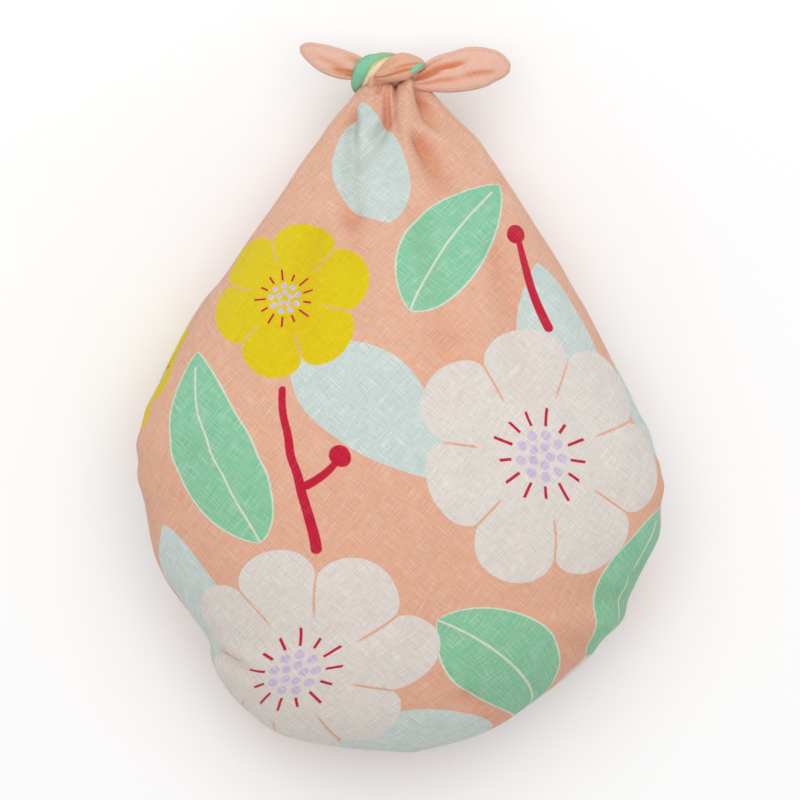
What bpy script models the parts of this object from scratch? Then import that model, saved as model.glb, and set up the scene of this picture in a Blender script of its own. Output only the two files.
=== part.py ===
"""A furoshiki wrap: one square of slub cotton tied as a drop-shaped bag, lying on its back.

The square is folded on its diagonal. Each end of the fold is knotted and tucked inside, so
that it cinches the side of the bag, and the other two corners are tied above in a square knot
whose ends stand out as two ears. The front and back layers are one cloth below, round the
fold, and two separate layers above, where a mouth opens along each straight upper edge.

Metres, +Z up, +Y towards the knot. The flat of the back rests on z = 0. The tables are in
millimetres, because the wrap was measured in them.
"""

import math
from typing import NamedTuple

import bmesh
import bpy
import numpy as np
from mathutils import Vector

MM = 0.001

# The cloth
WALL = 0.0022
CLOTH_COLOUR = (0.84, 0.46, 0.31, 1.0)
CLOTH_ROUGHNESS = 0.9

# The grid that the bag's wall is woven over
FRONT_STEPS = 26
BACK_STEPS = 18
SECTION_POWER = 2.3
REST_BLEND_MM = 3.0
TUCK_REACH_MM = 15.0
BACK_BOW_MM = 3.0
BACK_BOW_START_MM = 40.0
FOLD_FADE = 0.6
FOOT_MM = (5.9, -208.6, 58.0)

# The knotted parts
BUNDLE_SIDES = 14
# How far in from the tucked side, and the radius there
INNER_KNOT_MM = ((1.0, 5.0), (4.0, 6.5), (9.0, 10.5), (16.0, 11.5), (22.0, 9.0), (26.0, 3.5))


class Section(NamedTuple):
    """One level section across the bag, in millimetres.

    left, right: the outline's two sides. crest: height over the middle of the front. under:
    height of the back's middle before it settles on the surface, so less than 0 lies flat.
    seam: height of the side line between the layers. full: 1 is a shallow arch and 2 a round
    one. gap_*: how far the mouth stands open. tuck_*: how deep the side is drawn in. peek: how
    far the back layer shows past the front one on the left.
    """

    y: float
    left: float
    right: float
    crest: float
    under: float
    seam: float
    full: float
    gap_left: float
    gap_right: float
    tuck_left: float
    tuck_right: float
    peek: float


SECTIONS = (
    #        y       left    right  crest  under  seam  full  gap_l gap_r tk_l  tk_r  peek
    Section(-207.2, -10.0,   14.5,  69.5,  48.0, 58.0, 2.00,  0.0,  0.0,  0.0,  0.0, 0.0),
    Section(-204.8, -38.0,   24.5,  77.0,  41.0, 58.2, 2.00,  0.0,  0.0,  0.0,  0.0, 0.0),
    Section(-201.0, -60.0,   38.5,  84.5,  34.5, 58.5, 2.00,  0.0,  0.0,  0.0,  0.0, 0.0),
    Section(-195.2, -75.3,   52.5,  92.5,  27.0, 59.0, 2.00,  0.0,  0.0,  0.0,  0.0, 0.0),
    Section(-187.0, -86.3,   66.5, 101.0,  18.5, 59.3, 2.00,  0.0,  0.0,  0.0,  0.0, 0.0),
    Section(-176.0, -97.5,   82.0, 109.5,   9.5, 59.7, 2.02,  0.0,  0.0,  0.0,  0.0, 0.0),
    Section(-163.0, -107.0,  99.4, 117.5,   1.0, 60.0, 2.05,  0.0,  0.0,  0.0,  0.0, 0.0),
    Section(-151.5, -110.6, 112.2, 123.0,  -6.0, 60.3, 2.08,  0.0,  0.0,  0.0,  0.0, 0.0),
    Section(-142.3, -112.0, 119.0, 126.5, -10.0, 60.6, 2.10,  0.0,  0.0,  0.0,  0.0, 0.0),
    Section(-130.5, -120.5, 131.0, 130.0, -14.0, 61.0, 2.12,  0.0,  0.0,  0.0,  0.0, 0.0),
    Section(-118.8, -129.0, 134.2, 133.0, -17.0, 61.3, 2.12,  0.0,  0.0,  0.0,  0.0, 0.0),
    Section(-107.0, -137.4, 139.4, 135.6, -19.5, 61.6, 2.12,  0.0,  0.0,  1.0,  0.5, 0.0),
    Section(-94.0,  -142.9, 145.2, 137.8, -21.5, 61.8, 2.12,  0.0,  0.0,  3.0,  2.0, 0.0),
    Section(-80.0,  -145.3, 151.0, 139.2, -23.0, 62.0, 2.12,  0.0,  0.0,  8.0,  7.0, 0.0),
    Section(-66.0,  -148.4, 153.2, 140.0, -24.0, 62.0, 2.12,  0.0,  0.0, 14.0, 15.0, 0.0),
    Section(-54.0,  -152.0, 154.2, 140.3, -24.3, 62.0, 2.12,  0.0,  0.0, 21.0, 24.0, 0.0),
    Section(-43.0,  -154.0, 154.2, 140.3, -24.3, 62.0, 2.12,  0.0,  0.0, 27.0, 27.0, 0.0),
    Section(-33.0,  -154.5, 149.2, 139.9, -24.0, 61.9, 2.12,  0.0,  5.0, 29.0, 22.0, 0.0),
    Section(-22.0,  -153.6, 147.0, 139.2, -23.8, 61.7, 2.10,  5.0,  9.0, 24.0, 14.0, 0.0),
    Section(-8.0,   -148.9, 138.6, 137.9, -23.3, 61.4, 2.05, 10.0, 13.0, 14.0,  7.0, 0.8),
    Section(10.0,   -141.2, 130.5, 135.4, -22.4, 60.8, 2.00, 16.0, 18.0,  6.0,  3.0, 2.4),
    Section(32.0,   -129.8, 119.2, 130.4, -20.0, 59.6, 1.90, 22.0, 23.0,  2.0,  1.0, 4.2),
    Section(56.0,   -115.6, 106.4, 122.6, -15.5, 58.0, 1.78, 27.0, 26.0,  0.0,  0.0, 3.4),
    Section(80.0,   -97.0,   92.8, 112.0,  -8.5, 55.8, 1.66, 29.0, 27.0,  0.0,  0.0, 1.0),
    Section(102.0,  -81.3,   79.0, 100.4,   0.5, 53.6, 1.55, 28.0, 25.0,  0.0,  0.0, 0.5),
    Section(122.0,  -67.5,   65.6,  88.6,  10.5, 51.6, 1.46, 25.0, 22.0,  0.0,  0.0, 0.4),
    Section(139.0,  -57.0,   54.0,  78.6,  19.5, 49.8, 1.40, 20.0, 18.0,  0.0,  0.0, 0.3),
    Section(153.0,  -47.0,   44.4,  71.0,  26.0, 48.6, 1.38, 15.0, 13.0,  0.0,  0.0, 0.2),
    Section(165.0,  -39.2,   33.0,  65.6,  30.5, 47.8, 1.40, 11.0,  9.0,  0.0,  0.0, 0.1),
    Section(175.0,  -30.6,   24.0,  61.4,  33.5, 47.2, 1.45,  8.0,  7.0,  0.0,  0.0, 0.0),
    Section(186.0,  -18.0,    8.0,  55.0,  38.0, 46.4, 1.60,  4.0,  4.0,  0.0,  0.0, 0.0),
)


class Fold(NamedTuple):
    """A soft trough (depth under 0) or ridge of the front from one point to another, in mm."""

    x0: float
    y0: float
    x1: float
    y1: float
    depth: float
    width0: float
    width1: float


FOLDS = (
    # The gathers under the knot
    Fold(4.2, 186.0, 4.6, 150.0, 5.0, 4.6, 6.0),
    Fold(-5.0, 184.0, -7.0, 166.0, -5.5, 4.0, 5.0),
    Fold(-6.4, 168.0, -19.0, 142.0, -4.2, 5.0, 8.0),
    Fold(14.0, 170.0, 25.0, 128.0, -4.6, 5.0, 10.0),
    Fold(-25.5, 170.0, -26.5, 106.0, -4.2, 5.0, 8.0),
    Fold(-15.0, 178.0, -19.0, 158.0, 2.5, 5.0, 6.5),
    # The slack of the middle
    Fold(9.0, 108.0, 27.0, 34.0, -2.6, 8.0, 12.0),
    Fold(27.0, 34.0, 31.0, 0.0, -2.0, 11.0, 14.0),
    Fold(64.0, 72.0, 75.0, 0.0, -2.0, 7.0, 14.0),
    Fold(-48.0, 96.0, -62.0, 40.0, -2.0, 9.0, 14.0),
    # The creases that run in from the lower side corners
    Fold(-106.0, -149.0, -84.0, -162.0, -4.5, 5.5, 7.0),
    Fold(115.0, -151.0, 96.0, -141.0, -2.5, 6.0, 8.0),
    Fold(137.0, -121.0, 112.0, -111.0, -3.0, 6.0, 9.0),
    # The pull on each tucked side corner
    Fold(-154.0, -44.0, -128.0, -57.0, -2.6, 7.0, 9.0),
    Fold(-146.0, -28.0, -118.0, -30.0, -2.4, 7.0, 10.0),
    Fold(151.0, -36.0, 142.0, -15.0, -2.6, 6.0, 7.0),
)


class Ring(NamedTuple):
    """One ring of a twisted bundle of cloth, in millimetres: its centre and its half sizes."""

    x: float
    y: float
    z: float
    wide: float
    thick: float


BUNDLES = {
    "knot_core": (
        Ring(-22.0, 190.0, 46.0, 2.0, 2.5),
        Ring(-20.0, 190.0, 46.0, 7.0, 9.0),
        Ring(-13.0, 190.0, 46.0, 10.0, 12.5),
        Ring(-4.0, 190.5, 46.0, 11.0, 13.0),
        Ring(5.0, 190.5, 46.0, 9.5, 12.5),
        Ring(11.0, 190.0, 46.0, 6.0, 9.0),
        Ring(13.0, 190.0, 46.0, 2.0, 2.5),
    ),
    "left_wrap": (
        Ring(-23.5, 173.5, 44.0, 1.6, 1.8),
        Ring(-24.0, 176.5, 46.5, 4.0, 4.5),
        Ring(-23.5, 183.0, 53.0, 5.6, 6.0),
        Ring(-21.0, 191.5, 57.0, 6.8, 6.0),
        Ring(-14.5, 196.2, 57.5, 6.8, 6.0),
        Ring(-6.5, 196.6, 54.0, 5.6, 6.0),
        Ring(1.0, 195.0, 48.0, 3.5, 4.0),
    ),
    "middle_lobe": (
        Ring(-14.0, 189.0, 50.0, 2.5, 3.0),
        Ring(-11.0, 189.4, 55.0, 5.5, 6.0),
        Ring(-4.0, 191.6, 60.0, 7.4, 6.5),
        Ring(4.0, 194.0, 60.5, 8.2, 6.5),
        Ring(10.5, 194.2, 56.0, 6.6, 6.0),
        Ring(14.0, 193.0, 51.0, 3.0, 3.0),
    ),
    "under_lobe": (
        Ring(-22.0, 193.0, 42.0, 2.0, 2.0),
        Ring(-17.0, 192.5, 37.0, 7.0, 5.5),
        Ring(-4.0, 190.0, 33.0, 9.0, 6.0),
        Ring(8.0, 189.0, 36.0, 7.5, 5.5),
        Ring(14.0, 189.0, 41.0, 2.5, 2.5),
    ),
    "left_ear": (
        Ring(-14.0, 190.5, 48.0, 4.0, 4.0),
        Ring(-23.0, 193.2, 49.0, 6.4, 5.5),
        Ring(-32.0, 195.3, 50.0, 7.7, 5.0),
        Ring(-41.0, 198.4, 51.0, 9.1, 4.6),
        Ring(-49.0, 202.0, 52.0, 7.2, 3.8),
        Ring(-55.2, 205.0, 53.0, 4.2, 2.8),
        Ring(-58.4, 206.6, 53.4, 1.0, 1.0),
    ),
    "right_ear": (
        Ring(3.0, 187.5, 48.0, 3.5, 3.5),
        Ring(12.0, 187.6, 50.0, 6.4, 5.5),
        Ring(22.0, 189.9, 51.0, 9.9, 5.4),
        Ring(32.0, 191.4, 51.5, 11.3, 5.2),
        Ring(42.5, 194.0, 52.0, 12.0, 4.8),
        Ring(51.0, 195.2, 52.0, 10.0, 4.2),
        Ring(58.5, 195.6, 51.5, 7.0, 3.2),
        Ring(63.0, 194.4, 51.0, 2.0, 1.4),
    ),
}


def clear_scene() -> None:
    """Remove every object of the file."""
    for item in list(bpy.data.objects):
        bpy.data.objects.remove(item, do_unlink=True)


def soft_floor(height: float) -> float:
    """Height of a cloth that would hang at height, rounded into the surface that it rests on."""
    if height <= -REST_BLEND_MM:
        return 0.0
    if height >= REST_BLEND_MM:
        return height
    return (height + REST_BLEND_MM) ** 2 / (4.0 * REST_BLEND_MM)


def arch(turn: float, full: float) -> tuple[float, float]:
    """Place across, from -1 to 1, and height, from 0 to 1, at an angle over a section's arch."""
    across = -math.cos(turn)
    height = max(0.0, 1.0 - abs(across) ** SECTION_POWER) ** (1.0 / full)
    return across, height


def drawn_in(section: Section, across: float, rise: float) -> float:
    """How far a point at a height over the side line moves inwards where the side is cinched."""
    tuck = section.tuck_left if across < 0.0 else -section.tuck_right
    return tuck * math.exp(-((rise / TUCK_REACH_MM) ** 2))


def layer_row(section: Section, steps: int, front: bool) -> list[tuple[float, float, float]]:
    """Points of one layer over a section, from the left side to the right one.

    The back's rows bow a little towards the foot, as threads do in the slack of a layer.
    """
    left = section.left + (section.peek if front else 0.0)
    middle = (left + section.right) / 2.0
    half = (section.right - left) / 2.0
    up = 1.0 if front else -1.0
    top = section.crest if front else section.under
    points = []
    for step in range(steps + 1):
        turn = math.pi * step / steps
        across, height = arch(turn, section.full)
        share = step / steps
        gap = section.gap_left * (1.0 - share) + section.gap_right * share
        edge = section.seam + up * gap / 2.0
        z = edge + (top - edge) * height
        x = middle + half * across + drawn_in(section, across, z - edge)
        slack = min(1.0, (section.y - FOOT_MM[1]) / BACK_BOW_START_MM)
        bow = 0.0 if front else BACK_BOW_MM * slack * height
        points.append([x, section.y - bow, z])
    widest_left = middle - min(point[0] for point in points)
    widest_right = max(point[0] for point in points) - middle
    for point in points:
        reach = widest_left if point[0] < middle else widest_right
        point[0] = middle + (point[0] - middle) * half / reach
        if not front:
            point[2] = soft_floor(point[2])
    return points


def fold_depth(fold: Fold, x: float, y: float) -> float:
    """How far a fold moves the front at a point. It is shallower towards its second end."""
    run = Vector((fold.x1 - fold.x0, fold.y1 - fold.y0))
    offset = Vector((x - fold.x0, y - fold.y0))
    along = min(1.0, max(0.0, offset.dot(run) / run.length_squared))
    away = (offset - run * along).length
    width = fold.width0 + (fold.width1 - fold.width0) * along
    fade = 1.0 - FOLD_FADE * along
    return fold.depth * fade * math.exp(-((away / width) ** 2))


def creased(grid: np.ndarray) -> np.ndarray:
    """The front layer's grid with its folds pressed in along its own normals."""
    along = np.gradient(grid, axis=0)
    across = np.gradient(grid, axis=1)
    normals = np.cross(across, along)
    normals /= np.linalg.norm(normals, axis=2, keepdims=True)
    moved = grid.copy()
    for row in range(1, grid.shape[0] - 1):
        for column in range(1, grid.shape[1] - 1):
            x, y = grid[row, column, :2]
            depth = sum(fold_depth(fold, x, y) for fold in FOLDS)
            moved[row, column] += normals[row, column] * depth
    return moved


def add_object(name: str, mesh: bpy.types.Mesh) -> bpy.types.Object:
    """An object of the mesh in the scene."""
    item = bpy.data.objects.new(name, mesh)
    bpy.context.scene.collection.objects.link(item)
    return item


def wall_mesh() -> bpy.types.Mesh:
    """The bag's wall as one sheet: front and back share their side points up to the mouths."""
    front = creased(np.array([layer_row(section, FRONT_STEPS, True) for section in SECTIONS]))
    back = np.array([layer_row(section, BACK_STEPS, False) for section in SECTIONS])
    sheet = bmesh.new()
    front_rows = [[sheet.verts.new(point * MM) for point in row] for row in front]
    back_rows = []
    for section, row, front_row in zip(SECTIONS, back, front_rows):
        left = front_row[0] if section.gap_left == 0.0 else sheet.verts.new(row[0] * MM)
        inner = [sheet.verts.new(point * MM) for point in row[1:-1]]
        right = front_row[-1] if section.gap_right == 0.0 else sheet.verts.new(row[-1] * MM)
        back_rows.append([left, *inner, right])
    for rows, flip in ((front_rows, False), (back_rows, True)):
        for lower, upper in zip(rows, rows[1:]):
            for column in range(len(lower) - 1):
                corners = [lower[column], lower[column + 1], upper[column + 1], upper[column]]
                sheet.faces.new(reversed(corners) if flip else corners)
    foot = sheet.verts.new(Vector(FOOT_MM) * MM)
    ring = front_rows[0] + back_rows[0][-2:0:-1]
    for one, other in zip(ring, ring[1:] + ring[:1]):
        sheet.faces.new([foot, other, one])
    mesh = bpy.data.meshes.new("wrap_cloth")
    sheet.to_mesh(mesh)
    sheet.free()
    mesh.shade_smooth()
    return mesh


def ring_points(centre: Vector, heading: Vector, wide: float, thick: float) -> list[Vector]:
    """An oval ring square to the heading, its long way level."""
    level = heading.cross(Vector((0.0, 0.0, 1.0))).normalized()
    rise = level.cross(heading).normalized()
    points = []
    for side in range(BUNDLE_SIDES):
        turn = 2.0 * math.pi * side / BUNDLE_SIDES
        points.append(centre + level * wide * math.cos(turn) + rise * thick * math.sin(turn))
    return points


def bundle(name: str, rings: tuple[Ring, ...]) -> bpy.types.Object:
    """A gathered bundle of cloth, closed over its two ends."""
    centres = [Vector((ring.x, ring.y, ring.z)) for ring in rings]
    solid = bmesh.new()
    loops = []
    for index, ring in enumerate(rings):
        ahead = centres[min(index + 1, len(rings) - 1)]
        behind = centres[max(index - 1, 0)]
        heading = (ahead - behind).normalized()
        points = ring_points(centres[index], heading, ring.wide, ring.thick)
        loops.append([solid.verts.new(point * MM) for point in points])
    for one, other in zip(loops, loops[1:]):
        for side in range(BUNDLE_SIDES):
            after = (side + 1) % BUNDLE_SIDES
            solid.faces.new([one[side], one[after], other[after], other[side]])
    solid.faces.new(list(reversed(loops[0])))
    solid.faces.new(loops[-1])
    bmesh.ops.recalc_face_normals(solid, faces=solid.faces)
    mesh = bpy.data.meshes.new(name)
    solid.to_mesh(mesh)
    solid.free()
    return add_object(name, mesh)


def inner_knot(name: str, side: float, section: Section) -> bpy.types.Object:
    """The plain knot of a fold end, inside the bag behind its tucked side corner."""
    row = layer_row(section, FRONT_STEPS, True)
    tucked = row[-1][0] if side > 0.0 else row[0][0]
    rings = tuple(
        Ring(tucked - side * depth, section.y, section.seam, radius, radius)
        for depth, radius in INNER_KNOT_MM
    )
    return bundle(name, rings)


def fuse(base: bpy.types.Object, piece: bpy.types.Object) -> None:
    """Join a piece to the cloth, which it is one with."""
    piece.hide_render = True
    piece.display_type = "WIRE"
    join = base.modifiers.new(f"fuse {piece.name}", "BOOLEAN")
    join.operation = "UNION"
    join.solver = "EXACT"
    join.object = piece


def cloth_material() -> bpy.types.Material:
    """Plain matt cotton in the ground colour."""
    material = bpy.data.materials.new("slub cotton")
    material.use_nodes = True
    shader = material.node_tree.nodes["Principled BSDF"]
    shader.inputs["Base Color"].default_value = CLOTH_COLOUR
    shader.inputs["Roughness"].default_value = CLOTH_ROUGHNESS
    shader.inputs["Metallic"].default_value = 0.0
    return material


def main() -> None:
    """Build the wrap."""
    clear_scene()
    cloth = add_object("wrap_cloth", wall_mesh())
    cloth.data.materials.append(cloth_material())
    wall = cloth.modifiers.new("cloth thickness", "SOLIDIFY")
    wall.thickness = WALL
    wall.offset = -1.0
    wall.use_rim = True
    for name, rings in BUNDLES.items():
        fuse(cloth, bundle(name, rings))
    deepest_left = max(SECTIONS, key=lambda section: section.tuck_left)
    deepest_right = max(SECTIONS, key=lambda section: section.tuck_right)
    fuse(cloth, inner_knot("left_inner_knot", -1.0, deepest_left))
    fuse(cloth, inner_knot("right_inner_knot", 1.0, deepest_right))


main()
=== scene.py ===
"""A furoshiki wrap of printed slub cotton, tied as a drop-shaped bag and lying on its back.

The fine surfaces of the wrap are built here over its construction solid: the two layers of the
bag with their folds and hems, the square knot and its two ears, the print, the weave, and the
plain studio that it is seen in. Metres, +Z up, +Y towards the knot. Tables are in millimetres.
"""

from __future__ import annotations

import logging
import math
from dataclasses import dataclass, field
from enum import Enum
from typing import NamedTuple

import bpy
import numpy as np
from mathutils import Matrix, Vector, noise

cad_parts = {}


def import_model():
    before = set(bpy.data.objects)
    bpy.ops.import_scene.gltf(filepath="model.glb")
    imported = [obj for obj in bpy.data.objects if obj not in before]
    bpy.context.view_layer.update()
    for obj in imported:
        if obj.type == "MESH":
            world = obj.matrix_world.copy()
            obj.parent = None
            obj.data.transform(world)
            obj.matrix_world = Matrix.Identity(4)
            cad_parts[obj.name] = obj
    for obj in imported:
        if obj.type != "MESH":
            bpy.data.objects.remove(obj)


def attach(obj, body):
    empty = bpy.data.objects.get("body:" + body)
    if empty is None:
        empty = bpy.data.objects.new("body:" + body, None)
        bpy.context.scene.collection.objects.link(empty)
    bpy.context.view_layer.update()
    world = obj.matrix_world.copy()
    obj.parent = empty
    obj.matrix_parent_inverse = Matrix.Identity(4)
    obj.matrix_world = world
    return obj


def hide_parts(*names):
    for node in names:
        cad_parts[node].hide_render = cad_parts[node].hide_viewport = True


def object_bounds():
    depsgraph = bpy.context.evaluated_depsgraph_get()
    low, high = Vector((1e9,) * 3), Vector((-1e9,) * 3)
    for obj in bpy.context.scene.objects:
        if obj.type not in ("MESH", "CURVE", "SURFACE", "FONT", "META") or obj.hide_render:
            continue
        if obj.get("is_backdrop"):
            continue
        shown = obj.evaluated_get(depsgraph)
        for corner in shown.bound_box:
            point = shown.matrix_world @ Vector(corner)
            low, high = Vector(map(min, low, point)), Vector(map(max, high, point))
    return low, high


Array = np.ndarray
Piece = bpy.types.Object
Socket = bpy.types.NodeSocket
SocketPair = tuple[Socket, Socket]
# A ring of a bundle of cloth, in millimetres: its centre, its half width and half thickness
Ring = tuple[float, float, float, float, float]
# A groove along a bundle: its place round it and its width in degrees with its depth as a
# share of the size between them, and where it starts and ends from 0 to 1
Crease = tuple[float, float, float, float, float]

log = logging.getLogger("furoshiki")

MM = 0.001
MERGE_DISTANCE = 0.00002
NODE = "wrap_cloth"


def dye(red: int, green: int, blue: int) -> tuple[float, float, float, float]:
    """A colour as the eye reads it on the cloth, turned into the shader's linear values."""

    def linear(channel: int) -> float:
        """One channel, from 0 to 255, as a linear share."""
        share = channel / 255.0
        return share / 12.92 if share <= 0.04045 else ((share + 0.055) / 1.055) ** 2.4

    return linear(red), linear(green), linear(blue), 1.0


class Dye(Enum):
    """The inks of the print, and the warm tint of the painted shade."""

    GROUND = dye(229, 176, 148)
    ROSE = dye(234, 185, 165)
    WHITE = dye(222, 215, 209)
    MINT = dye(132, 203, 163)
    AQUA = dye(198, 214, 210)
    YELLOW = dye(226, 204, 4)
    CRIMSON = dye(198, 14, 56)
    LILAC = dye(202, 184, 216)
    RIM = dye(212, 222, 200)
    STRAW = dye(226, 208, 120)
    # Painted shade: a warm, darker tint multiplied into the creases and into low, turned-away cloth
    DEEP = dye(234, 178, 130)
    THREAD = dye(240, 234, 226)
    REVERSE = dye(238, 222, 186)


class Section(NamedTuple):
    """One level section across the bag, in millimetres.

    left, right: the outline's two sides. crest: height over the middle of the front. under:
    height of the back's middle before it settles on the surface. seam: height of the side line
    between the layers. full: 1 is a shallow arch and 2 a round one. gap_*: how far the mouth
    stands open. tuck_*: how deep the side is drawn in. peek: how far the back layer shows past
    the front one on the left.
    """

    y: float
    left: float
    right: float
    crest: float
    under: float
    seam: float
    full: float
    gap_left: float = 0.0
    gap_right: float = 0.0
    tuck_left: float = 0.0
    tuck_right: float = 0.0
    peek: float = 0.0


# y, left, right, crest, under, seam, full, then both gaps, both tucks and the peek where not 0
SECTIONS = tuple(Section(*row) for row in (
    (-208.6, 5.9, 5.9, 58, 58, 58, 2),
    (-207.2, -10, 14.5, 69.5, 48, 58, 2),
    (-204.8, -38, 24.5, 77, 41, 58.2, 2),
    (-201, -60, 38.5, 84.5, 34.5, 58.5, 2),
    (-195.2, -75.3, 52.5, 92.5, 27, 59, 2),
    (-187, -86.3, 66.5, 101, 18.5, 59.3, 2),
    (-176, -97.5, 82, 109.5, 9.5, 59.7, 2.02),
    (-163, -107, 99.4, 117.5, 1, 60, 2.05),
    (-151.5, -110.6, 112.2, 123, -6, 60.3, 2.08),
    (-142.3, -112, 119, 126.5, -10, 60.6, 2.1),
    (-130.5, -120.5, 131, 130, -14, 61, 2.12),
    (-118.8, -129, 134.2, 133, -17, 61.3, 2.12),
    (-107, -137.4, 139.4, 135.6, -19.5, 61.6, 2.12, 0, 0, 1, 0.5),
    (-94, -142.9, 145.2, 137.8, -21.5, 61.8, 2.12, 0, 0, 3, 2),
    (-80, -145.3, 151, 139.2, -23, 62, 2.12, 0, 0, 8, 7),
    (-66, -147.8, 152.4, 140, -24, 62, 2.12, 0, 0, 14, 15),
    (-54, -151, 153, 140.3, -24.3, 62, 2.12, 0, 0, 21, 24),
    (-43, -152.4, 152.6, 140.3, -24.3, 62, 2.12, 0, 0, 27, 27),
    (-33, -152.8, 148.4, 139.9, -24, 61.9, 2.12, 0, 5, 29, 22),
    (-22, -152.2, 147, 139.2, -23.8, 61.7, 2.1, 5, 9, 24, 14),
    (-8, -148.9, 138.6, 137.9, -23.3, 61.4, 2.05, 10, 13, 14, 7, 0.8),
    (10, -142, 130.5, 135.4, -22.4, 60.8, 2, 16, 18, 6, 3, 2.4),
    (32, -131.4, 119.2, 130.4, -20, 59.6, 1.9, 22, 23, 2, 1, 4.2),
    (56, -116.8, 106.4, 122.6, -15.5, 58, 1.78, 27, 26, 0, 0, 3.4),
    (80, -97.8, 92.8, 112, -8.5, 55.8, 1.66, 29, 27, 0, 0, 1),
    (102, -82.4, 79.6, 100.4, 0.5, 53.6, 1.55, 28, 25, 0, 0, 0.5),
    (122, -69, 66.6, 88.6, 10.5, 51.6, 1.46, 25, 22, 0, 0, 0.4),
    (139, -58.4, 55, 78.6, 19.5, 49.8, 1.4, 20, 18, 0, 0, 0.3),
    (153, -47.8, 45.2, 71, 26, 48.6, 1.38, 15, 13, 0, 0, 0.2),
    (165, -39.2, 33, 65.6, 30.5, 47.8, 1.4, 11, 9, 0, 0, 0.1),
    (175, -30.6, 24, 61.4, 33.5, 47.2, 1.45, 8, 7),
    (186, -22, 14, 55, 38, 46.4, 1.6, 4, 4),
))


class Fold(NamedTuple):
    """A soft trough (depth under 0) or ridge of the front from one point to another, in mm."""

    x0: float
    y0: float
    x1: float
    y1: float
    depth: float
    width0: float
    width1: float


FOLDS = tuple(Fold(*row) for row in (
    # The gathers under the knot
    (4.2, 188, 3.8, 150, 7, 4.6, 6), (-2.2, 190, -3.4, 168, -6, 1.2, 1.4),
    (-3.4, 167, 0.2, 148, -3.2, 1.3, 1.8), (-1, 188, 5.8, 177, -2.6, 1.1, 1.3),
    (-7.4, 167.5, -8.4, 182, -8, 2.6, 1.5), (-7.6, 163, -21, 143, -9.5, 3.2, 7.5),
    (-10, 164, -28, 151, 3.2, 3.5, 5), (11.4, 181, 19, 161, -9.5, 3.2, 5),
    (10, 152, 25.5, 128, -10, 4.2, 8), (17, 158, 31, 146, 2.4, 3.5, 5), (4, 148, 5, 112, 3, 6, 9),
    (-12.5, 184, -14.5, 170, -4, 1.8, 3), (-29, 168, -28, 106, -8, 3.6, 6.5),
    (-28, 106, -24, 84, -3, 6.5, 9), (-15, 180, -18, 166, 3, 3.2, 4.5),
    # The slack of the middle
    (9, 108, 27, 34, -3.2, 6, 10), (27, 34, 31, 0, -2.4, 9, 13), (58, 84, 75, 0, -3.8, 8, 13),
    (-48, 96, -62, 40, -2.4, 8, 13),
    # The creases that run in from the lower side corners
    (-106, -149, -88, -160, -4.6, 3.2, 5), (-101, -141, -82, -153, 1.8, 4, 6),
    (115, -151, 96, -141, -2.5, 6, 8), (137, -121, 112, -111, -3, 5, 9),
    (141, -99, 134, -105, -4.5, 1.7, 2.4), (38, -172, 56, -186, -2.6, 5, 6),
    # The pull on each tucked side corner
    (-154, -44, -128, -57, -3, 5, 9), (-146, -28, -118, -30, -2.4, 6, 10),
    (151, -38, 144, -22, -4.5, 1.8, 2.6), (146, -50, 118, -60, -2.6, 5, 9),
))


class Pleats(NamedTuple):
    """The fine pleats that run into a tucked side corner: where it is, how many, how deep."""

    x: float
    y: float
    z: float
    count: int
    depth: float
    reach: float
    phase: float


PLEATS = (
    Pleats(-150, -33, 62, 9, 0.9, 40, 0.4), Pleats(150, -43, 62, 9, 1.1, 38, 1.3),
)


def deselect_all() -> None:
    """Clear the selection, so that the next operator acts on its own piece alone."""
    bpy.ops.object.select_all(action="DESELECT")


def smooth_curve(knots: Array, table: Array, places: Array) -> Array:
    """Smooth values between the rows of a table.

    Args:
        knots: the table's rising places, one for each row.
        table: the values, a row for each place.
        places: where values are wanted.

    Returns:
        A row of values for each wanted place, exact at the table's own places.
    """
    slopes = np.gradient(table, knots, axis=0)
    index = np.clip(np.searchsorted(knots, places, side="right") - 1, 0, len(knots) - 2)
    span = knots[index + 1] - knots[index]
    share = ((places - knots[index]) / span)[:, None]
    span = span[:, None]
    low, high = table[index], table[index + 1]
    leave = (share**3 - 2 * share**2 + share) * span * slopes[index]
    arrive = (share**3 - share**2) * span * slopes[index + 1]
    start = (2 * share**3 - 3 * share**2 + 1) * low + leave
    end = (3 * share**2 - 2 * share**3) * high + arrive
    return start + end


def run_lengths(points: Array) -> Array:
    """Length along a line of points from its first one to each."""
    steps = np.linalg.norm(np.diff(points, axis=0), axis=1)
    return np.concatenate([[0.0], np.cumsum(steps)])


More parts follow.
